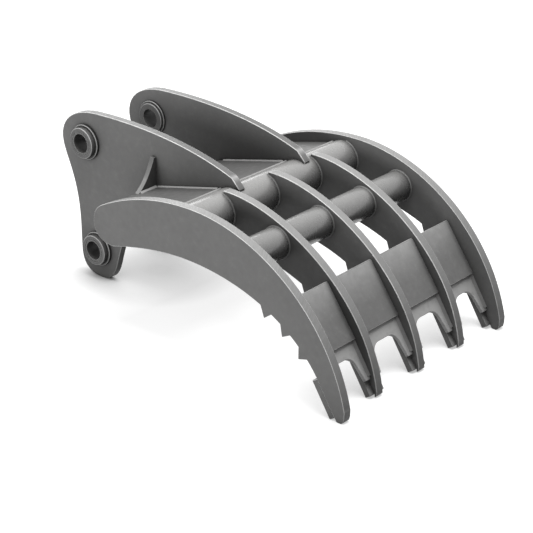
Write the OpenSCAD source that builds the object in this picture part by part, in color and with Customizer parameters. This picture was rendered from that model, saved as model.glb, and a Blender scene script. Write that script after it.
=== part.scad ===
// Excavator rake: two hanger ears with bushed pin bores, a welded box with two cross tubes,
// and five plate tines with saw-toothed inner edges, front panels, a comb plate and tip bars.
// +X points from the ears to the tine tips, +Z is up as the rake stands on its ears and tips,
// and the origin is the centre of the stick pin bore.

/* [Hitch] */
// Diameter of both pins
pin_d = 80; // [70:1:90]
// Wall of a pin bush
bush_wall = 24; // [18:1:26]
// Width of the collar ring round a bush
collar_w = 9; // [6:1:12]
// Clear width between the two ears
ear_gap = 345; // [330:1:360]
// Thickness of an ear plate
ear_t = 32; // [25:1:36]
// Thickness of the collar on an ear's outer face
collar_out = 12; // [8:1:16]
// How far a bush stands out of an ear's outer face
bush_out = 32; // [20:1:36]
// Thickness of the collar on an ear's inner face
collar_in = 8; // [6:1:10]
// How far a bush stands out of an ear's inner face
bush_in = 16; // [12:1:20]
// Chamfer on the rims of the bushes and collars
rim = 2.5; // [1:0.5:4]
// Wall of the lip between a bush's bore and the seal groove in its outer face
lip = 7; // [4:1:9]
// Width and depth of the seal groove
seal = 2.5; // [1.5:0.5:3]
// Height of the link pin above the stick pin
pin_rise = 458; // [450:1:470]
// How far the link pin lies behind the stick pin
pin_back = 42; // [30:1:50]
// Height of the stick pin above the ground at rest
pin_clear = 129; // [122:1:134]

/* [Tines] */
// Thickness of a tine plate
tine_t = 36; // [28:1:40]
// Spacing of the three inner tines
inner_pitch = 252; // [244:1:270]
// Spacing from an inner tine to the side tine beside it
outer_pitch = 225; // [205:1:250]
// Reach from the upper cross tube to the nose of an inner tine's tip
reach = 752; // [740:1:780]
// How far a side tine's crest stands above the cross tube's top
side_proud = 21; // [14:1:30]
// How far a side tine reaches past the inner tines
side_reach = 32; // [20:1:40]
// How far an inner tine's rear end stands above the cross tube's top
inner_proud = 11; // [6:1:14]
// Height of a tooth above the inner edge
tooth_h = 36; // [20:1:40]
// Where a tooth's point lies along its base
tooth_lean = 0.62; // [0.3:0.01:0.8]

/* [Cross tubes] */
// Outer diameter of the upper tube
upper_d = 150; // [140:1:156]
// Bore of the upper tube
upper_bore = 118; // [100:1:130]
// Distance of the upper tube in front of the stick pin
upper_x = 750; // [740:1:760]
// Height of the upper tube above the stick pin
upper_z = 393; // [388:1:398]
// Outer diameter of the lower tube
lower_d = 124; // [112:1:130]
// Bore of the lower tube
lower_bore = 102; // [80:1:104]
// Distance of the lower tube in front of the upper one
tube_gap = 280; // [270:1:290]
// How far the lower tube lies below the upper one
tube_drop = 47; // [42:1:52]

/* [Box] */
// Thickness of the top plate
top_t = 12; // [10:1:20]
// Slope of the top plate
top_slope = 13.4; // [12:0.1:15]
// Distance of the rear plate's back face in front of the stick pin
rear_x = 333; // [325:1:345]
// Thickness of the rear plate
rear_t = 25; // [18:1:30]
// Height of the rear plate's foot above the stick pin
rear_foot = 221; // [215:1:228]
// Thickness of a belly plate
belly_t = 14; // [10:1:16]
// Thickness of a wing gusset
wing_t = 20; // [12:1:26]
// Height of a wing gusset above the top plate
wing_h = 130; // [100:1:145]
// Width of a wing gusset along the top plate
wing_w = 102; // [80:1:125]

/* [Front] */
// Thickness of a front panel
panel_t = 12; // [10:1:14]
// Length of a front panel down the tines
panel_l = 230; // [200:1:236]
// Slope of the front panels
panel_slope = 54.7; // [54:0.1:55.4]
// Distance of a panel's top edge behind the nose of an inner tine's tip
panel_back = 234; // [229:1:240]
// Chamfer on a panel's top edge
panel_edge = 4; // [2:1:6]
// Height of a panel's top edge above the stick pin
panel_z = 266; // [262:1:269]
// Thickness of the comb plate
comb_t = 16; // [13:1:20]
// Slope of the comb legs and the tip bars under them
comb_slope = 57.5; // [56.5:0.1:58.5]
// Length of the comb legs below the panels
comb_l = 153; // [130:1:158]
// How far the comb plate laps under the panels
comb_lap = 45; // [30:1:60]
// Width of a comb leg where it leaves the plate
leg_w = 36; // [28:1:42]
// Width of a comb leg at its end
leg_tip_w = 27; // [20:1:36]
// Corner radius of a comb opening
comb_r = 45; // [30:1:50]
// Distance from the panels to a comb opening
comb_top = 50; // [40:1:60]

/* [Tip bars] */
// Thickness of a tip bar
bar_t = 25; // [16:1:28]
// Distance of a tip bar's upper end below the panels
bar_drop = 60; // [52:1:66]
// How far a tip bar overhangs each side of an inner tine
bar_over = 22; // [10:1:27]

/* [Welds] */
// Leg of a fillet weld round a cross tube
tube_weld = 4; // [3:1:6]
// Leg of a fillet weld along an ear
ear_weld = 5; // [3:1:8]
// Leg of a fillet weld along a comb leg
leg_weld = 12; // [6:1:14]
// Leg of a fillet weld along a wing gusset's foot
wing_weld = 8; // [5:1:10]
// Radius of the weld bead along the top plate's front edge
bead_r = 6; // [4:1:7]

/* [Hidden] */
$fn = 96;

// Clearance between round fits, and a margin that lets one cut run past another
fit = 0.3;
past = 1;

// Ground level, and the two pins, in the XZ plane
ground = -pin_clear;
stick_pin = [0, 0];
link_pin = [-pin_back, pin_rise];
bush_r = pin_d / 2 + bush_wall;
collar_r = bush_r + collar_w;

// Middle planes of the tines, from left to right
tine_y = [-inner_pitch - outer_pitch, -inner_pitch, 0, inner_pitch, inner_pitch + outer_pitch];
side_face = tine_y[4] - tine_t / 2;

// Cross tubes
upper_c = [upper_x, upper_z];
upper_r = upper_d / 2;
lower_c = upper_c + [tube_gap, -tube_drop];
lower_r = lower_d / 2;

// The top plate's lower front corner sits on the upper tube at this angle
seat_angle = 148;
seat = upper_c + upper_r * [cos(seat_angle), sin(seat_angle)];
rise = tan(top_slope);
function under_top(x) = seat.y + (x - seat.x) * rise;
function over_top(x) = under_top(x) + top_t / cos(top_slope);
top_front = seat.x + 4;

// Unit directions along and square to the front panels, and the line where the panels end
down = [cos(panel_slope), -sin(panel_slope)];
out = [sin(panel_slope), cos(panel_slope)];
nose_x = upper_x + reach;
panel_top = [nose_x - panel_back, panel_z];
panel_end = panel_top + panel_l * down;

// The comb plate bends to the slope of its legs on the line comb_bend, under the panels' end
bar_dir = [cos(comb_slope), -sin(comb_slope)];
bar_in = [bar_dir.y, -bar_dir.x];
comb_bend = panel_end - panel_t * out;
comb_fold = (comb_slope - panel_slope) / 2;
comb_inner_bend = comb_bend
    - comb_t / cos(comb_fold) * [sin(panel_slope + comb_fold), cos(panel_slope + comb_fold)];

// Cubic curve through its first and last control points
function bez(p, t) =
    pow(1 - t, 3) * p[0] + 3 * t * pow(1 - t, 2) * p[1] + 3 * t * t * (1 - t) * p[2] + pow(t, 3) * p[3];
function run(p, t0, t1, n) = [for (i = [0 : n]) bez(p, t0 + (t1 - t0) * i / n)];

// Inner edge of every tine: a rear run and a front run that carries the teeth
crest_x = upper_x + 28;
inner_z = 283;
rear_edge = [[rear_x + 65, 223], [rear_x + 195, 259], [crest_x - 120, inner_z], [crest_x, inner_z]];
bar_start = comb_inner_bend + bar_drop * bar_dir + fit * bar_in;
bar_l = (bar_start.y + bar_t * bar_in.y - ground) / -bar_dir.y;
front_edge = [[crest_x, inner_z], [crest_x + 0.38 * (bar_start.x - crest_x), inner_z],
    bar_start + [-0.209 * (bar_start.x - crest_x), 0.717 * (inner_z - bar_start.y)], bar_start];
tooth_at = [0.52, 0.665, 0.815];
tooth_span = 0.078;
function tooth_point(t) =
    let (a = bez(front_edge, t), b = bez(front_edge, t + tooth_span), u = (b - a) / norm(b - a))
    a + tooth_lean * (b - a) + tooth_h * [u.y, -u.x];
toothed_edge = concat(
    run(front_edge, 0, tooth_at[0], 14), [tooth_point(tooth_at[0])],
    run(front_edge, tooth_at[0] + tooth_span, tooth_at[1], 3), [tooth_point(tooth_at[1])],
    run(front_edge, tooth_at[1] + tooth_span, tooth_at[2], 3), [tooth_point(tooth_at[2])],
    run(front_edge, tooth_at[2] + tooth_span, 1, 4));

// Where a tip bar ends, and the blunt tips of both kinds of tine, which stand on the ground
bar_end = bar_start + bar_l * bar_dir;
inner_nose = [nose_x, ground + 26];
side_nose = [nose_x + side_reach, ground + 50];
inner_tip = [[nose_x, ground + 9], [nose_x - 10, ground]];
side_tip = [side_nose + [-1, -26], side_nose + [-5, -42], side_nose + [-14, -50], [bar_end.x + 9, ground]];

// A tine's outer edge, from its crest or rear end to its nose
function outer_edge(from, to, lift, swell, drop) =
    [from, [from.x + swell * (to.x - from.x), from.y + lift],
     [to.x - (to.x - from.x) * drop.x, to.y + (from.y - to.y) * drop.y], to];

// Outlines in the XZ plane
crest_z = upper_z + upper_r;
inner_back = outer_edge([upper_x + 18, crest_z + inner_proud], inner_nose, 14, 0.327, [0.081, 0.671]);
side_crest = [upper_x + 58, crest_z + side_proud];
side_front = outer_edge(side_crest, side_nose, 0, 0.4545, [0.105, 0.604]);
side_rear = [[rear_x + 20, 382], [rear_x + 170, 456], [side_crest.x - 160, side_crest.y], side_crest];
tail_top = [[rear_x - 34, 301], [rear_x - 34, 341], [rear_x - 15, 366], side_rear[0]];
tail_low = [rear_edge[0], [rear_x + 5, 223], [rear_x - 34, 246], tail_top[0]];

inner_outline = concat(
    run(inner_back, 0, 1, 28), inner_tip, [bar_end],
    [for (i = [len(toothed_edge) - 1 : -1 : 0]) toothed_edge[i]], run(rear_edge, 0.95, 0, 10),
    [[rear_x + rear_t, rear_foot], [rear_x + rear_t, under_top(rear_x + rear_t)],
     [seat.x + 2, under_top(seat.x + 2)], [upper_x, upper_z + upper_r / 2]]);
side_outline = concat(
    run(side_rear, 0, 0.95, 12), run(side_front, 0, 1, 30),
    side_tip, [bar_end],
    [for (i = [len(toothed_edge) - 1 : -1 : 0]) toothed_edge[i]], run(rear_edge, 0.95, 0.05, 10),
    run(tail_low, 0, 1, 8), run(tail_top, 0.1, 0.9, 6));

// Ear outline: nose round the link pin, long top edge, chamfered toe on the upper tube,
// seat on the top plate, heel down the rear plate, foot round the stick pin, hollow back
toe_top = [upper_x + 1, crest_z + 37];
toe = [upper_x + 38, crest_z - 1];
nose_curve = [[-pin_back - 143, pin_rise - 7], [-pin_back - 143, pin_rise + 68],
    [-pin_back - 70, pin_rise + 126], [-pin_back + 60, pin_rise + 132]];
brow_curve = [nose_curve[3], [-pin_back + 330, pin_rise + 145], [toe_top.x - 193, toe_top.y + 71], toe_top];
heel = [rear_x, rear_foot + 17];
shin_curve = [heel, [rear_x - 141, rear_foot - 5], [140, 66], [114, -16]];
sole_curve = [shin_curve[3], [90, ground + 28], [66, ground], [3, ground]];
back_foot = [sole_curve[3], [-72, ground], [-106, ground + 40], [-104, ground + 110]];
back_curve = [[-103, 91], [-104, 306], [-pin_back - 140, pin_rise - 92], nose_curve[0]];
ear_outline = concat(
    run(nose_curve, 0, 0.95, 12), run(brow_curve, 0, 1, 20), [toe],
    [[upper_x + 38, upper_z + upper_r / 2], [top_front, upper_z + upper_r / 3], [top_front, over_top(top_front)],
     [rear_x, over_top(rear_x)]],
    run(shin_curve, 0, 0.95, 12), run(sole_curve, 0, 0.95, 8), run(back_foot, 0, 1, 8),
    run(back_curve, 0, 0.95, 14));

// A plate cut from an outline in the XZ plane, between two Y planes
module plate(y0, y1, outline) {
    translate([0, y1, 0]) rotate([90, 0, 0]) linear_extrude(y1 - y0) polygon(outline);
}

// A round bar along Y through a point of the XZ plane
module across(c, r, y0, y1) {
    translate([c.x, y0, c.y]) rotate([-90, 0, 0]) cylinder(h = y1 - y0, r = r);
}

// One ear, with side -1 for left and 1 for right, bored for both bushes and cut to the tube
module ear(side) {
    y0 = side < 0 ? -ear_gap / 2 - ear_t : ear_gap / 2;
    color("dimgray") difference() {
        plate(y0, y0 + ear_t, ear_outline);
        for (c = [stick_pin, link_pin]) across(c, bush_r + fit, y0 - past, y0 + ear_t + past);
        across(upper_c, upper_r + fit, y0 - past, y0 + ear_t + past);
    }
}

// A turned ring along Y from the distance a to the distance b from the middle plane, on one
// side, with both of its outer rims chamfered by edge
module ring(side, c, r_out, r_in, a, b, edge) {
    translate([c.x, side < 0 ? -b : a, c.y]) rotate([-90, 0, 0]) rotate_extrude()
        polygon([[r_in, 0], [r_out - edge, 0], [r_out, edge], [r_out, b - a - edge],
            [r_out - edge, b - a], [r_in, b - a]]);
}
module bush(side, c) {
    face = ear_gap / 2 + ear_t + bush_out;
    seal_r = pin_d / 2 + lip;
    color("gray") difference() {
        ring(side, c, bush_r, pin_d / 2, ear_gap / 2 - bush_in, face, rim);
        difference() {
            across(c, seal_r + seal, side * face - seal, side * face + seal);
            across(c, seal_r, side * face - seal - past, side * face + seal + past);
        }
    }
}
module outer_collar(side, c) {
    face = ear_gap / 2 + ear_t;
    color("slategray") ring(side, c, collar_r, bush_r + fit, face, face + collar_out, rim);
}
module inner_collar(side, c) {
    face = ear_gap / 2;
    color("slategray") ring(side, c, collar_r, bush_r + fit, face - collar_in, face, rim);
}

// An inner tine, holed for both cross tubes, and a side tine, which closes their ends
module inner_tine(i) {
    y0 = tine_y[i] - tine_t / 2;
    color("dimgray") difference() {
        plate(y0, y0 + tine_t, inner_outline);
        across(upper_c, upper_r + fit, y0 - past, y0 + tine_t + past);
        across(lower_c, lower_r + fit, y0 - past, y0 + tine_t + past);
    }
}
module side_tine(i) {
    color("dimgray") plate(tine_y[i] - tine_t / 2, tine_y[i] + tine_t / 2, side_outline);
}

// Cross tubes between the side tines
module cross_tube(c, r_out, r_in) {
    color("gray") difference() {
        across(c, r_out, -side_face, side_face);
        across(c, r_in, -side_face - past, side_face + past);
    }
}

// Top plate, from the rear plate's back face to its seat on the upper tube
module top_plate() {
    color("darkgray") difference() {
        plate(-side_face, side_face,
            [[rear_x, under_top(rear_x)], [top_front, under_top(top_front)],
             [top_front, over_top(top_front)], [rear_x, over_top(rear_x)]]);
        across(upper_c, upper_r + fit, -side_face - past, side_face + past);
    }
}
module rear_plate() {
    color("slategray") plate(-side_face, side_face,
        [[rear_x, rear_foot], [rear_x + rear_t, rear_foot],
         [rear_x + rear_t, under_top(rear_x + rear_t)], [rear_x, under_top(rear_x)]]);
}

// Wing gusset: a hollow sweep from the ear's outer face out along the top plate
module wing_gusset(side) {
    face = ear_gap / 2 + ear_t;
    base = over_top(rear_x) - past;
    sweep = [[face + wing_w * 0.12, base + wing_h], [face + wing_w * 0.29, base + wing_h * 0.65],
        [face + wing_w * 0.59, base + wing_h * 0.23], [face + wing_w, base + 5]];
    color("darkgray") mirror([0, side < 0 ? 1 : 0, 0]) difference() {
        translate([rear_x, 0, 0]) rotate([90, 0, 90]) linear_extrude(wing_t)
            polygon(concat([[face, base + wing_h]], run(sweep, 0, 1, 18),
                [[face + wing_w, base - rear_t], [face, base - rear_t]]));
        plate(0, side_face,
            [[rear_x - past, ground], [rear_x + rear_t + past, ground],
             [rear_x + rear_t + past, over_top(rear_x + rear_t + past)], [rear_x - past, over_top(rear_x - past)]]);
    }
}

// What fills gap k, from 0 at the left, between the faces of two tines
function gap_lo(k) = tine_y[k] + tine_t / 2;
function gap_hi(k) = tine_y[k + 1] - tine_t / 2;

// Belly plate, parallel to the top plate, from the rear plate to the upper tube
module belly_plate(k) {
    x0 = rear_x + rear_t;
    z0 = rear_foot + 23;
    x1 = upper_x - 20;
    z1 = z0 + (x1 - x0) * rise;
    color("slategray") difference() {
        plate(gap_lo(k), gap_hi(k), [[x0, z0], [x1, z1], [x1, z1 + belly_t], [x0, z0 + belly_t]]);
        across(upper_c, upper_r + fit, gap_lo(k) - past, gap_hi(k) + past);
    }
}

module front_panel(k) {
    color("dimgray") plate(gap_lo(k), gap_hi(k),
        [panel_top + panel_edge * down, panel_end, panel_end - panel_t * out, panel_top - panel_t * out,
         panel_top - panel_edge * out]);
}

// Comb plate: bent from its lap under a panel to the slope of its legs, which run along the
// tines and narrow towards their ends on both sides of an opening with rounded inner corners
comb_outline = [comb_bend - comb_lap * down, comb_bend, comb_bend + comb_l * bar_dir,
    comb_bend + comb_l * bar_dir + comb_t * bar_in, comb_inner_bend, comb_bend - comb_lap * down - comb_t * out];
leg_taper = atan((leg_w - leg_tip_w) / (comb_l - comb_top - comb_r));
module comb_opening(lo, hi) {
    x = comb_top + comb_r;
    touch = [x - comb_r * sin(leg_taper), leg_w + comb_r * (1 - cos(leg_taper))];
    tip = [comb_l + past, touch.y - (comb_l + past - touch.x) * tan(leg_taper)];
    for (y = [lo + leg_w + comb_r, hi - leg_w - comb_r]) translate([x, y]) circle(comb_r);
    translate([comb_top, lo + leg_w + comb_r]) square([comb_r, hi - lo - 2 * leg_w - 2 * comb_r]);
    polygon([[touch.x, lo + touch.y], [tip.x, lo + tip.y], [tip.x, hi - tip.y], [touch.x, hi - touch.y]]);
}
module comb_plate(k) {
    lo = gap_lo(k);
    hi = gap_hi(k);
    color("gray") difference() {
        plate(lo, hi, comb_outline);
        translate([comb_bend.x, 0, comb_bend.y]) rotate([0, comb_slope, 0])
            translate([0, 0, -2 * comb_t]) linear_extrude(3 * comb_t) comb_opening(lo, hi);
    }
}

// Tip bar under a tine's inner edge, wider than an inner tine and flush with a side tine's face
module tip_bar(i) {
    y0 = tine_y[i] - tine_t / 2 - (i == 0 ? 0 : bar_over);
    y1 = tine_y[i] + tine_t / 2 + (i == 4 ? 0 : bar_over);
    color("darkslategray") plate(y0, y1,
        [bar_start, bar_end, bar_end + bar_t * bar_in, bar_start + bar_t * bar_in]);
}

// Part of a fillet weld ring round a tube, on the face of a tine at y, growing towards dir
module ring_weld(c, r, y, dir, from, sweep) {
    translate([c.x, y, c.y]) rotate([dir > 0 ? -90 : 90, 0, 0]) rotate([0, 0, dir > 0 ? -from - sweep : from])
        rotate_extrude(angle = sweep) polygon([[r + fit, 0], [r + tube_weld, 0], [r + fit, tube_weld]]);
}
module tube_welds(c, r, from, sweep) {
    color("darkgray") for (k = [0 : 3]) {
        ring_weld(c, r, gap_lo(k), 1, from, sweep);
        ring_weld(c, r, gap_hi(k), -1, from, sweep);
    }
}

// Fillet welds that join the ears to the top plate
module ear_welds() {
    x0 = rear_x + rear_t + past;
    x1 = top_front - 2 * bead_r;
    color("darkgray") for (side = [-1, 1], face = [ear_gap / 2, ear_gap / 2 + ear_t])
        translate([x0, side * face, over_top(x0)]) rotate([0, -top_slope, 0]) rotate([90, 0, 90])
            linear_extrude((x1 - x0) / cos(top_slope))
                polygon([[0, 0], [side * (face > ear_gap / 2 ? 1 : -1) * ear_weld, 0], [0, ear_weld]]);
}

// Bead along the top plate's front edge, between the ears and beside them
module front_bead(y0, y1) {
    difference() {
        across([top_front + bead_r / 2, over_top(top_front)], bead_r, y0, y1);
        across(upper_c, upper_r + fit, y0 - past, y1 + past);
        plate(y0 - past, y1 + past,
            [[top_front - 3 * bead_r, ground], [top_front, ground],
             [top_front, over_top(top_front)], [top_front - 3 * bead_r, over_top(top_front - 3 * bead_r)]]);
    }
}

// Welds on the top plate: the front bead, and a fillet along each wing gusset's foot
module top_plate_welds() {
    face = ear_gap / 2 + ear_t;
    x0 = rear_x + wing_t;
    color("darkgray") {
        front_bead(-side_face, -face);
        front_bead(-ear_gap / 2, ear_gap / 2);
        front_bead(face, side_face);
        for (y = [-face - wing_w * 0.9, face + ear_weld])
            plate(y, y + wing_w * 0.9 - ear_weld,
                [[x0, over_top(x0)], [x0 + wing_weld, over_top(x0 + wing_weld)], [x0, over_top(x0) + wing_weld]]);
    }
}

// Fillet welds that join the comb legs to the tines, in the step under the panels
module comb_welds() {
    color("darkgray") for (k = [0 : 3], dir = [1, -1])
        translate([comb_bend.x, dir > 0 ? gap_lo(k) : gap_hi(k), comb_bend.y]) rotate([0, comb_slope, 0])
            rotate([90, 0, 90]) linear_extrude(comb_l - leg_weld)
                polygon([[0, 0], [dir * leg_weld, 0], [0, leg_weld * 0.6]]);
}

ear(-1);  // left_ear
ear(1);  // right_ear
bush(-1, link_pin);  // left_link_pin_bush
bush(1, link_pin);  // right_link_pin_bush
bush(-1, stick_pin);  // left_stick_pin_bush
bush(1, stick_pin);  // right_stick_pin_bush
outer_collar(-1, link_pin);  // left_link_outer_collar
inner_collar(-1, link_pin);  // left_link_inner_collar
outer_collar(-1, stick_pin);  // left_stick_outer_collar
inner_collar(-1, stick_pin);  // left_stick_inner_collar
outer_collar(1, link_pin);  // right_link_outer_collar
inner_collar(1, link_pin);  // right_link_inner_collar
outer_collar(1, stick_pin);  // right_stick_outer_collar
inner_collar(1, stick_pin);  // right_stick_inner_collar
side_tine(0);  // left_side_tine
inner_tine(1);  // left_inner_tine
inner_tine(2);  // centre_tine
inner_tine(3);  // right_inner_tine
side_tine(4);  // right_side_tine
cross_tube(upper_c, upper_r, upper_bore / 2);  // upper_cross_tube
cross_tube(lower_c, lower_r, lower_bore / 2);  // lower_cross_tube
top_plate();
rear_plate();
wing_gusset(-1);  // left_wing_gusset
wing_gusset(1);  // right_wing_gusset
belly_plate(0);  // belly_plate_1
belly_plate(1);  // belly_plate_2
belly_plate(2);  // belly_plate_3
belly_plate(3);  // belly_plate_4
front_panel(0);  // front_panel_1
front_panel(1);  // front_panel_2
front_panel(2);  // front_panel_3
front_panel(3);  // front_panel_4
comb_plate(0);  // comb_plate_1
comb_plate(1);  // comb_plate_2
comb_plate(2);  // comb_plate_3
comb_plate(3);  // comb_plate_4
tip_bar(0);  // tip_bar_1
tip_bar(1);  // tip_bar_2
tip_bar(2);  // tip_bar_3
tip_bar(3);  // tip_bar_4
tip_bar(4);  // tip_bar_5
tube_welds(upper_c, upper_r, -100, 180);  // upper_tube_welds
tube_welds(lower_c, lower_r, 0, 360);  // lower_tube_welds
ear_welds();
top_plate_welds();
comb_welds();
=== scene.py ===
import math

import bpy
from mathutils import Euler, Matrix, Vector


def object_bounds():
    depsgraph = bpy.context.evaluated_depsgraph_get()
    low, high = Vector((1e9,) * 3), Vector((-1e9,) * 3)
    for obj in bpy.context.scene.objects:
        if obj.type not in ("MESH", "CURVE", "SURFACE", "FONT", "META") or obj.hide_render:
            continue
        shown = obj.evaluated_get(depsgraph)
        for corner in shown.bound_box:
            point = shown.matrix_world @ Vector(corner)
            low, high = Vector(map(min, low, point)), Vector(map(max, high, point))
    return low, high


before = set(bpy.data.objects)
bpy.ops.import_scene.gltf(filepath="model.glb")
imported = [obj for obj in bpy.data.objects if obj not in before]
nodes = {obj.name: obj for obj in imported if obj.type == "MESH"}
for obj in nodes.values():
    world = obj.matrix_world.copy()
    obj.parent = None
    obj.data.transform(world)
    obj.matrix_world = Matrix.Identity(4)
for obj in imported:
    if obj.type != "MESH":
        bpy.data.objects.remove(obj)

cad_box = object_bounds()

# Ears
# Two flame-cut hanger plates of 32 mm steel, welded over the top plate and the upper tube.
# They are sprayed in satin grey, their corners are broken with a grinder, and their cut edges
# keep the fine slanting marks of the grinding disc. Their cut edges and broken corners are painted
# paler, partly as ground and rubbed steel and partly as a painted highlight.
PLATE_CORNER = 0.002
FACET_ANGLE = math.radians(32)


def warm_grey(level):
    """The paint's grey, a touch warmer than neutral, at a level from 0, black, to 1, white."""
    return level, 0.9977 * level, 0.989 * level


def shader_group(name, inputs, outputs):
    tree = bpy.data.node_groups.new(name, "ShaderNodeTree")
    for label, kind, value in inputs:
        tree.interface.new_socket(name=label, in_out="INPUT", socket_type=kind).default_value = value
    for label, kind in outputs:
        tree.interface.new_socket(name=label, in_out="OUTPUT", socket_type=kind)
    return tree, tree.nodes.new("NodeGroupInput").outputs, tree.nodes.new("NodeGroupOutput").inputs


def feed(tree, value, socket):
    """Sets a socket to a plain value, or links an output to it."""
    if isinstance(value, bpy.types.NodeSocket):
        tree.links.new(value, socket)
    elif isinstance(value, tuple):
        socket.default_value = (*value, 1.0)
    else:
        socket.default_value = value


def number(tree, operation, *values, clamp=False):
    node = tree.nodes.new("ShaderNodeMath")
    node.operation = operation
    node.use_clamp = clamp
    for value, socket in zip(values, node.inputs):
        feed(tree, value, socket)
    return node.outputs[0]


def spread(tree, value, low, high, to_low=0.0, to_high=1.0):
    """Stretches a value from one range to another, held at its ends."""
    node = tree.nodes.new("ShaderNodeMapRange")
    for label, setting in (("From Min", low), ("From Max", high), ("To Min", to_low), ("To Max", to_high)):
        node.inputs[label].default_value = setting
    tree.links.new(value, node.inputs["Value"])
    return node.outputs["Result"]


def blend(tree, mask, under, over):
    node = tree.nodes.new("ShaderNodeMix")
    node.data_type = "RGBA"
    colours = [socket for socket in node.inputs if socket.type == "RGBA"]
    for value, socket in ((mask, node.inputs[0]), (under, colours[0]), (over, colours[1])):
        feed(tree, value, socket)
    return [socket for socket in node.outputs if socket.type == "RGBA"][0]


def noise(tree, place, scale, detail=3.0, rough=0.55):
    node = tree.nodes.new("ShaderNodeTexNoise")
    node.inputs["Scale"].default_value = scale
    node.inputs["Detail"].default_value = detail
    node.inputs["Roughness"].default_value = rough
    tree.links.new(place, node.inputs["Vector"])
    return node.outputs["Fac"]


def axes(tree, vector):
    node = tree.nodes.new("ShaderNodeSeparateXYZ")
    tree.links.new(vector, node.inputs[0])
    return node.outputs


def part_place(tree):
    return tree.nodes.new("ShaderNodeTexCoord").outputs["Object"]


# Sprayed coat over rolled plate: cloudy tone, small darker and lighter mottling, orange peel,
# and a paler tone on what faces up, partly settled dust and partly a painted sheen
CLOUD_GREY = (0.300, 0.298, 0.292)
DARK_MOTTLE = (0.070, 0.069, 0.067)
PALE_MOTTLE = (0.330, 0.328, 0.322)
PALE_GRAIN = (0.270, 0.268, 0.262)
DUST_AND_SHEEN_GREY = (0.370, 0.367, 0.360)
spray, put, give = shader_group(
    "sprayed_coat",
    [("Colour", "NodeSocketColor", (0.14, 0.14, 0.14, 1.0)), ("Dust", "NodeSocketFloat", 0.2),
     ("Mottle", "NodeSocketFloat", 1.0)],
    [("Colour", "NodeSocketColor"), ("Roughness", "NodeSocketFloat"), ("Height", "NodeSocketFloat")])
coat_place = part_place(spray)
cloud = noise(spray, coat_place, 4.0)
mottle = noise(spray, coat_place, 38.0, 4.0, 0.62)
grain = noise(spray, coat_place, 420.0, 2.0)
tone = blend(spray, spread(spray, cloud, 0.36, 0.68, 0.0, 0.10), put["Colour"], CLOUD_GREY)
for speck, low, high, amount, shade in ((mottle, 0.50, 0.74, 0.22, DARK_MOTTLE),
                                        (mottle, 0.46, 0.26, 0.14, PALE_MOTTLE),
                                        (grain, 0.52, 0.80, 0.16, PALE_GRAIN)):
    mask = number(spray, "MULTIPLY", spread(spray, speck, low, high, 0.0, amount), put["Mottle"])
    tone = blend(spray, mask, tone, shade)
# What faces up is painted paler: settled dust and a painted sheen
up = axes(spray, spray.nodes.new("ShaderNodeNewGeometry").outputs["Normal"])["Z"]
dust_and_sheen_grain = spread(spray, grain, 0.35, 0.62, 0.82, 1.0)
dust_and_sheen_mask = number(spray, "MULTIPLY", spread(spray, up, -0.1, 0.95), dust_and_sheen_grain)
dust_and_sheen_mask = number(spray, "MULTIPLY", dust_and_sheen_mask, put["Dust"])
feed(spray, blend(spray, dust_and_sheen_mask, tone, DUST_AND_SHEEN_GREY), give["Colour"])
feed(spray, spread(spray, mottle, 0.3, 0.75, 0.40, 0.50), give["Roughness"])
feed(spray, number(spray, "MULTIPLY_ADD", mottle, 0.8, grain), give["Height"])

# Painted shade in recesses: the coat is painted darker where two plates close in, and most of all
# in the crease beside a weld or a collar, where shade falls
PAINTED_SHADE_GREY = (0.018, 0.0175, 0.017)
CREASE_REACH = 0.035
painted_shade, put, give = shader_group(
    "recess_painted_shade", [("Reach", "NodeSocketFloat", 0.2), ("Depth", "NodeSocketFloat", 0.5),
                     ("Crease", "NodeSocketFloat", 0.5)],
    [("Shade", "NodeSocketFloat")])


def closed_in(reach, open_share, shut_share):
    sky = painted_shade.nodes.new("ShaderNodeAmbientOcclusion")
    sky.samples = 10
    feed(painted_shade, reach, sky.inputs["Distance"])
    return spread(painted_shade, sky.outputs["AO"], open_share, shut_share)


wide = number(painted_shade, "MULTIPLY", closed_in(put["Reach"], 0.92, 0.25), put["Depth"])
tight = number(painted_shade, "MULTIPLY", closed_in(CREASE_REACH, 0.93, 0.58), put["Crease"])
feed(painted_shade, number(painted_shade, "MAXIMUM", wide, tight, clamp=True), give["Shade"])

# Worn corners: a broken corner is painted pale, partly as thin, rubbed coat and partly as a painted
# highlight of the light it catches. The plates and bushes lie square to Y, so what slopes between is a
# corner broken with the disc.
RUBBED_AND_HIGHLIGHT_GREY = (0.660, 0.659, 0.655)
wear_and_highlight, put, give = shader_group(
    "worn_and_highlight_corner", [("Width", "NodeSocketFloat", 0.002), ("Patchy", "NodeSocketFloat", 0.4)],
    [("Mask", "NodeSocketFloat")])
rounded = wear_and_highlight.nodes.new("ShaderNodeBevel")
rounded.samples = 6
feed(wear_and_highlight, put["Width"], rounded.inputs["Radius"])
face = wear_and_highlight.nodes.new("ShaderNodeNewGeometry").outputs["True Normal"]
bend = wear_and_highlight.nodes.new("ShaderNodeVectorMath")
bend.operation = "DOT_PRODUCT"
wear_and_highlight.links.new(rounded.outputs["Normal"], bend.inputs[0])
wear_and_highlight.links.new(face, bend.inputs[1])
rubbed = spread(wear_and_highlight, noise(wear_and_highlight, part_place(wear_and_highlight), 30.0, 4.0), 0.36, 0.60)
everywhere = number(wear_and_highlight, "SUBTRACT", 1.0, put["Patchy"])
patches = number(wear_and_highlight, "MULTIPLY_ADD", rubbed, put["Patchy"], everywhere)
slope = number(wear_and_highlight, "ABSOLUTE", axes(wear_and_highlight, face)["Y"])
sloping = number(wear_and_highlight, "MULTIPLY", spread(wear_and_highlight, slope, 0.35, 0.55), spread(wear_and_highlight, slope, 0.92, 0.80))
corner = number(wear_and_highlight, "MAXIMUM", spread(wear_and_highlight, bend.outputs["Value"], 0.997, 0.95), sloping)
feed(wear_and_highlight, number(wear_and_highlight, "MULTIPLY", corner, patches, clamp=True), give["Mask"])
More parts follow.
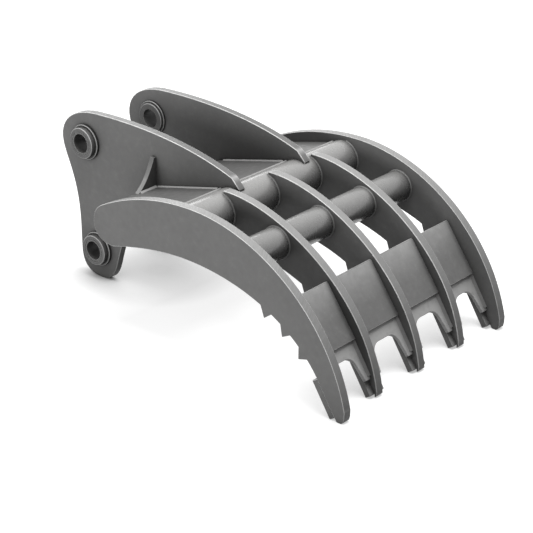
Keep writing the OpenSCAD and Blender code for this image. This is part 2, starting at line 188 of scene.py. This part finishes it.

# Ground cut edges: fine scratches run slantwise across a plate's edge and none on its flat faces,
# and the edge is painted paler the more it faces up, partly as ground steel and partly as a painted
# highlight
DISC_SLANT = 0.9
GROOVE_SHARE = 0.72
marks, put, give = shader_group(
    "ground_and_highlight_edge", [("Slant", "NodeSocketFloat", 1.0)],
    [("Mask", "NodeSocketFloat"), ("Tone", "NodeSocketFloat"), ("Height", "NodeSocketFloat")])
side_on = axes(marks, marks.nodes.new("ShaderNodeNewGeometry").outputs["True Normal"])
edge_on = spread(marks, number(marks, "ABSOLUTE", side_on["Y"]), 0.85, 0.55)
# Painted highlight: the pale edge tone is given only where the edge faces up
feed(marks, number(marks, "MULTIPLY", edge_on, spread(marks, side_on["Z"], 0.15, 0.98)), give["Mask"])
spot = axes(marks, part_place(marks))
along = number(marks, "SUBTRACT", spot["X"], spot["Z"])
scratch_place = marks.nodes.new("ShaderNodeCombineXYZ")
feed(marks, number(marks, "MULTIPLY_ADD", spot["Y"], put["Slant"], along), scratch_place.inputs["X"])
feed(marks, number(marks, "MULTIPLY", spot["Y"], 0.06), scratch_place.inputs["Y"])
scratch = noise(marks, scratch_place.outputs[0], 260.0, 4.0, 0.75)
feed(marks, spread(marks, scratch, 0.34, 0.66), give["Tone"])
feed(marks, scratch, give["Height"])


def place_group(tree, made, **values):
    node = tree.nodes.new("ShaderNodeGroup")
    node.node_tree = made
    for label, value in values.items():
        feed(tree, value, node.inputs[label])
    return node.outputs


def painted_steel(name, coat, ground_and_highlight=None, dust_and_sheen=0.1, mottle=1.0, rough=0.0, reach=0.22, shade_depth=0.60,
                  crease=0.6, worn_and_highlight=0.8, patchy=0.25, shine=0.25):
    """Satin grey paint on steel. coat is the grey level of the coat, and the cut-edge grey that of
    cut edges, where a piece has them, which is partly a painted highlight. The shade depth and
    crease are how dark painted shade makes the coat where plates close in within reach, and right
    beside a weld or a collar."""
    material = bpy.data.materials.new(name)
    material.use_nodes = True
    tree = material.node_tree
    shader = tree.nodes["Principled BSDF"]
    sprayed = place_group(tree, spray, Colour=warm_grey(coat), Dust=dust_and_sheen, Mottle=mottle)
    colour, height = sprayed["Colour"], sprayed["Height"]
    if ground_and_highlight:
        cut = place_group(tree, marks, Slant=DISC_SLANT)
        pale_edge_colour = blend(tree, cut["Tone"], warm_grey(GROOVE_SHARE * ground_and_highlight), warm_grey(ground_and_highlight))
        colour = blend(tree, cut["Mask"], colour, pale_edge_colour)
        scratched = number(tree, "MULTIPLY", cut["Mask"], cut["Height"])
        height = number(tree, "MULTIPLY_ADD", scratched, 1.6, height)
    pale_corner_mask = place_group(tree, wear_and_highlight, Width=PLATE_CORNER, Patchy=patchy)["Mask"]
    # Broken corners are painted pale: rubbed coat and a painted highlight
    colour = blend(tree, number(tree, "MULTIPLY", pale_corner_mask, worn_and_highlight), colour, RUBBED_AND_HIGHLIGHT_GREY)
    shade = place_group(tree, painted_shade, Reach=reach, Depth=shade_depth, Crease=crease)["Shade"]
    # Painted shade: the coat is painted darker in recesses and creases
    colour = blend(tree, shade, colour, PAINTED_SHADE_GREY)
    feed(tree, colour, shader.inputs["Base Color"])
    feed(tree, number(tree, "ADD", sprayed["Roughness"], rough), shader.inputs["Roughness"])
    shader.inputs["Specular IOR Level"].default_value = shine
    bump = tree.nodes.new("ShaderNodeBump")
    bump.inputs["Strength"].default_value = 0.16
    bump.inputs["Distance"].default_value = 0.0006
    feed(tree, height, bump.inputs["Height"])
    feed(tree, bump.outputs["Normal"], shader.inputs["Normal"])
    return material


def shape_group(name, steps):
    """A geometry group that runs the named steps, each made by a function of the tree."""
    tree = bpy.data.node_groups.new(name, "GeometryNodeTree")
    for way in ("INPUT", "OUTPUT"):
        tree.interface.new_socket(name="Geometry", in_out=way, socket_type="NodeSocketGeometry")
    last = tree.nodes.new("NodeGroupInput").outputs[0]
    for step in steps:
        node = step(tree)
        tree.links.new(last, node.inputs["Geometry"])
        last = node.outputs["Geometry"]
    tree.links.new(last, tree.nodes.new("NodeGroupOutput").inputs[0])
    return tree


def joined_faces(tree):
    node = tree.nodes.new("GeometryNodeMergeByDistance")
    node.inputs["Distance"].default_value = 0.00001
    return node


def own_normals_dropped(tree):
    node = tree.nodes.new("GeometryNodeRemoveAttribute")
    node.inputs["Name"].default_value = "custom_normal"
    return node


def faces_smooth(tree):
    return tree.nodes.new("GeometryNodeSetShadeSmooth")


def corners_sharp(tree):
    node = tree.nodes.new("GeometryNodeSetShadeSmooth")
    node.domain = "EDGE"
    node.inputs["Shade Smooth"].default_value = False
    sharp = tree.nodes.new("FunctionNodeCompare")
    sharp.operation = "GREATER_THAN"
    sharp.inputs["B"].default_value = FACET_ANGLE
    edge_angle = tree.nodes.new("GeometryNodeInputMeshEdgeAngle").outputs["Unsigned Angle"]
    tree.links.new(edge_angle, sharp.inputs["A"])
    tree.links.new(sharp.outputs[0], node.inputs["Selection"])
    return node


whole_surface = shape_group("whole_surface", [joined_faces, own_normals_dropped])
smooth_runs = shape_group("smooth_runs", [faces_smooth, corners_sharp])


def finish_nodes(material, corner_width, *names):
    """Paints CAD nodes, breaks their sharp corners and shades their curved edges smooth."""
    for name in names:
        obj = nodes[name]
        obj.modifiers.new("whole_surface", "NODES").node_group = whole_surface
        if corner_width:
            broken = obj.modifiers.new("broken_corners", "BEVEL")
            broken.width = corner_width
            broken.limit_method = "ANGLE"
            broken.angle_limit = FACET_ANGLE
        obj.modifiers.new("smooth_runs", "NODES").node_group = smooth_runs
        for material_slot in obj.material_slots:
            material_slot.link = "OBJECT"
            material_slot.material = material


ear_paint = painted_steel("ear_paint", coat=0.124, ground_and_highlight=0.165, mottle=0.6, reach=0.36, shade_depth=0.95,
                          crease=0.9, worn_and_highlight=0.9)
finish_nodes(ear_paint, PLATE_CORNER, "left_ear", "right_ear")

# Pin bushes and collars
# Turned steel bushes pressed through the ears, each with a seal groove in its outer face and
# a welded collar on both sides of the ear. Their coat is darker than the ears', and their rims
# are painted a little paler, partly as rubbed coat and partly as a painted highlight.
UNBROKEN = 0.0
bush_paint = painted_steel("bush_paint", coat=0.092, rough=-0.06, reach=0.08, shade_depth=0.90, crease=0.9,
                           worn_and_highlight=0.45, patchy=0.2)
collar_paint = painted_steel("collar_paint", coat=0.085, reach=0.05, shade_depth=0.80, crease=1.0, worn_and_highlight=0.45,
                             patchy=0.2)
for side in ("left", "right"):
    for pin in ("link", "stick"):
        finish_nodes(bush_paint, UNBROKEN, f"{side}_{pin}_pin_bush")
        finish_nodes(collar_paint, UNBROKEN, f"{side}_{pin}_outer_collar", f"{side}_{pin}_inner_collar")

# Tines
# Five flame-cut plates, of which the outer two run back beside the ears. Their inner edges
# have saw teeth, and their cut edges are ground and painted like the ears'. The inner three,
# which stand in the shade between their neighbours, get a darker copy of the coat as painted shade.
TINE_EDGE = 0.315
tine_paint = painted_steel("tine_paint", coat=0.134, ground_and_highlight=TINE_EDGE, mottle=0.6, reach=0.30, shade_depth=0.50,
                           worn_and_highlight=0.9)
finish_nodes(tine_paint, PLATE_CORNER, "left_side_tine", "right_side_tine")
shaded_inner_tine_paint = painted_steel("shaded_inner_tine_paint", coat=0.108, ground_and_highlight=TINE_EDGE, mottle=0.6, reach=0.30,
                                 shade_depth=0.50, worn_and_highlight=0.9)
finish_nodes(shaded_inner_tine_paint, PLATE_CORNER, "left_inner_tine", "centre_tine", "right_inner_tine")

# Cross tubes
# Two seamless tubes that end at the side tines and pass through the inner ones. Their upper sides
# are painted paler, partly as dust and partly as a painted sheen, the lower one less so, and their
# undersides stay dark. The lower tube, in the shade between the tines, gets a darker copy of the
# coat as painted shade.
tube_paint = painted_steel("tube_paint", coat=0.100, dust_and_sheen=0.62, mottle=1.2, rough=-0.18, reach=0.12,
                           shade_depth=1.0, crease=0.8, worn_and_highlight=0.2, shine=1.0)
finish_nodes(tube_paint, UNBROKEN, "upper_cross_tube")
shaded_low_tube_paint = painted_steel("shaded_low_tube_paint", coat=0.085, dust_and_sheen=0.44, mottle=1.2, rough=-0.18, reach=0.16,
                               shade_depth=1.0, crease=0.8, worn_and_highlight=0.2, shine=1.0)
finish_nodes(shaded_low_tube_paint, UNBROKEN, "lower_cross_tube")

# Box plates
# The top, rear and belly plates, which are welded into a box behind the upper tube, and the
# wing gussets, which stand on it beside the ears. Little light and little wear reach them.
plate_paint = painted_steel("plate_paint", coat=0.100, reach=0.24, shade_depth=0.70, crease=0.5, worn_and_highlight=0.2,
                            shine=0.2)
finish_nodes(plate_paint, PLATE_CORNER, "top_plate", "rear_plate", "left_wing_gusset", "right_wing_gusset",
             *[f"belly_plate_{k}" for k in range(1, 5)])

# Front panels and comb plates
# Flat panels welded between the tines and, under them, bent comb plates with a U opening
# each. The panels' corners are only just broken, and the comb plates' as much as the tines'.
PANEL_CORNER = 0.001
panel_paint = painted_steel("panel_paint", coat=0.134, mottle=1.1, reach=0.06, shade_depth=0.4, crease=0.5)
finish_nodes(panel_paint, PANEL_CORNER, *[f"front_panel_{k}" for k in range(1, 5)])
# The comb plates get a far paler copy of the coat than the rest, as painted light
painted_light_comb_paint = painted_steel("painted_light_comb_paint", coat=0.370, reach=0.10, shade_depth=0.40, crease=0.4, worn_and_highlight=0.2)
finish_nodes(painted_light_comb_paint, PLATE_CORNER, *[f"comb_plate_{k}" for k in range(1, 5)])

# Tip bars
# Hard bars welded under the tines' tips, where the rake scrapes the ground. They are sprayed
# darker than the tines, and their corners are painted pale, partly as coat rubbed off by use and
# partly as a painted highlight.
tip_bar_paint = painted_steel("tip_bar_paint", coat=0.105, reach=0.10, shade_depth=0.6, worn_and_highlight=0.6, patchy=0.2)
finish_nodes(tip_bar_paint, PLATE_CORNER, *[f"tip_bar_{k}" for k in range(1, 6)])

# Welds
# Fillet beads laid round the tubes, along the ears and the top plate and at the comb plates.
# They are sprayed with the rest, and those beside the ears and the top plate are painted paler, a painted
# highlight.
weld_paint = painted_steel("weld_paint", coat=0.170, reach=0.08, shade_depth=0.7, crease=0.5, worn_and_highlight=0.0)
finish_nodes(weld_paint, UNBROKEN, "upper_tube_welds", "lower_tube_welds", "comb_welds")
highlight_bead_paint = painted_steel("highlight_bead_paint", coat=0.300, reach=0.08, shade_depth=0.2, crease=0.0, worn_and_highlight=0.0)
finish_nodes(highlight_bead_paint, UNBROKEN, "ear_welds", "top_plate_welds")

# Studio
# A seamless white sweep under the rake, a large soft box above its middle, a long one off its
# left side, which leaves the gaps dark, and a third for the sides the photograph hides.
ROOM_LIGHT = 0.42
stage_scene = bpy.context.scene


def soft_box(name, place, aim, size, power):
    light = bpy.data.lights.new(name, "AREA")
    light.shape = "RECTANGLE"
    light.size, light.size_y = size
    light.energy = power
    obj = bpy.data.objects.new(name, light)
    obj.location = place
    obj.rotation_euler = (Vector(aim) - Vector(place)).to_track_quat("-Z", "Y").to_euler()
    stage_scene.collection.objects.link(obj)


soft_box("soft_box_above", place=(1.25, 0.0, 4.0), aim=(0.8, 0.0, 0.2), size=(2.6, 2.6), power=178.0)
soft_box("soft_box_left", place=(0.1, -5.0, 1.3), aim=(0.9, 0.0, 0.2), size=(3.8, 1.6), power=145.0)
soft_box("soft_box_behind", place=(-4.5, 3.5, 2.5), aim=(0.5, 0.0, 0.2), size=(3.0, 2.0), power=80.0)


def background(tree, strength):
    node = tree.nodes.new("ShaderNodeBackground")
    node.inputs["Color"].default_value = (1.0, 1.0, 1.0, 1.0)
    node.inputs["Strength"].default_value = strength
    return node.outputs[0]


def seen_rays(tree):
    """1 for the rays that see the white sweep and room themselves, 0 for those that light."""
    ray = tree.nodes.new("ShaderNodeLightPath").outputs
    direct = number(tree, "MAXIMUM", ray["Is Camera Ray"], ray["Is Glossy Ray"])
    return number(tree, "MAXIMUM", direct, ray["Is Transmission Ray"])


def mixed(tree, mask, lit, seen):
    node = tree.nodes.new("ShaderNodeMixShader")
    for value, socket in zip((mask, lit, seen), node.inputs):
        tree.links.new(value, socket)
    return node.outputs[0]


room = bpy.data.worlds.new("room")
room.use_nodes = True
room_tree = room.node_tree
room_tree.nodes.clear()
walls = mixed(room_tree, seen_rays(room_tree), background(room_tree, ROOM_LIGHT), background(room_tree, 1.0))
room_tree.links.new(walls, room_tree.nodes.new("ShaderNodeOutputWorld").inputs["Surface"])
stage_scene.world = room

# The sweep glows for what looks at it, so that it is white, and its glow is dimmed between the
# ears' feet and where the rake closes it in, a painted shadow beside the lamps' thin shadow. It throws back
# a grey floor's light.
SWEEP_HALF = 30.0
FEET_MIDDLE = 0.14
FEET_GLOW = 0.42
UNDER_GLOW, OPEN_GLOW = 0.74, 0.96
TIP_SHADOW = 0.5
floor_z = cad_box[0][2]
sweep_corners = [(SWEEP_HALF * x, SWEEP_HALF * y, floor_z)
                 for x, y in ((-1, -1), (1, -1), (1, 1), (-1, 1))]
sweep_mesh = bpy.data.meshes.new("sweep")
sweep_mesh.from_pydata(sweep_corners, [], [(0, 1, 2, 3)])
sweep = bpy.data.objects.new("sweep", sweep_mesh)
stage_scene.collection.objects.link(sweep)
sweep_paint = bpy.data.materials.new("sweep_paint")
sweep_paint.use_nodes = True
sweep_tree = sweep_paint.node_tree
sweep_tree.nodes.clear()


def matt(level):
    node = sweep_tree.nodes.new("ShaderNodeBsdfDiffuse")
    node.inputs["Color"].default_value = (level, level, level, 1.0)
    return node.outputs[0]


from_feet = sweep_tree.nodes.new("ShaderNodeVectorMath")
from_feet.operation = "DISTANCE"
from_feet.inputs[1].default_value = (FEET_MIDDLE, 0.0, floor_z)
sweep_tree.links.new(part_place(sweep_tree), from_feet.inputs[0])
away = from_feet.outputs["Value"]
by_feet = spread(sweep_tree, away, 0.04, 0.36, FEET_GLOW, 1.0)
under_rake = spread(sweep_tree, away, 0.3, 1.7, UNDER_GLOW, OPEN_GLOW)
open_air = sweep_tree.nodes.new("ShaderNodeAmbientOcclusion")
open_air.samples = 12
open_air.inputs["Distance"].default_value = 0.34
closed = spread(sweep_tree, open_air.outputs["AO"], 0.96, 0.25)
painted_contact_shadow = number(sweep_tree, "MULTIPLY", closed, spread(sweep_tree, away, 0.5, 1.4, 1.0, TIP_SHADOW))
open_glow = number(sweep_tree, "MULTIPLY", by_feet, under_rake)
unshadowed_share = number(sweep_tree, "SUBTRACT", 1.0, painted_contact_shadow)
glow = sweep_tree.nodes.new("ShaderNodeEmission")
feed(sweep_tree, number(sweep_tree, "MULTIPLY", open_glow, unshadowed_share), glow.inputs["Strength"])
white = sweep_tree.nodes.new("ShaderNodeAddShader")
sweep_tree.links.new(matt(0.40), white.inputs[0])
sweep_tree.links.new(glow.outputs[0], white.inputs[1])
surface = mixed(sweep_tree, seen_rays(sweep_tree), matt(0.15), white.outputs[0])
sweep_tree.links.new(surface, sweep_tree.nodes.new("ShaderNodeOutputMaterial").inputs["Surface"])
sweep_mesh.materials.append(sweep_paint)

# Camera
# A long lens on a stand, a little above the rake and off its front left corner, as the
# photograph was taken. The lens and the stand's place follow from the pin bores and tips.
CAMERA_PLACE = Vector((4.627, -4.393, 2.782))
AZIMUTH = math.radians(41.50)
ELEVATION = math.radians(24.83)
ROLL = math.radians(-0.33)
LENS_MM = 111.3
SENSOR_MM = 36.0
lens = bpy.data.cameras.new("camera")
lens.sensor_width = SENSOR_MM
lens.lens = LENS_MM
camera = bpy.data.objects.new("camera", lens)
turn = Euler((math.pi / 2 - ELEVATION, 0.0, AZIMUTH)).to_matrix() @ Matrix.Rotation(ROLL, 3, "Z")
camera.matrix_world = Matrix.Translation(CAMERA_PLACE) @ turn.to_4x4()
stage_scene.collection.objects.link(camera)
stage_scene.camera = camera
stage_scene.view_settings.view_transform = "Standard"
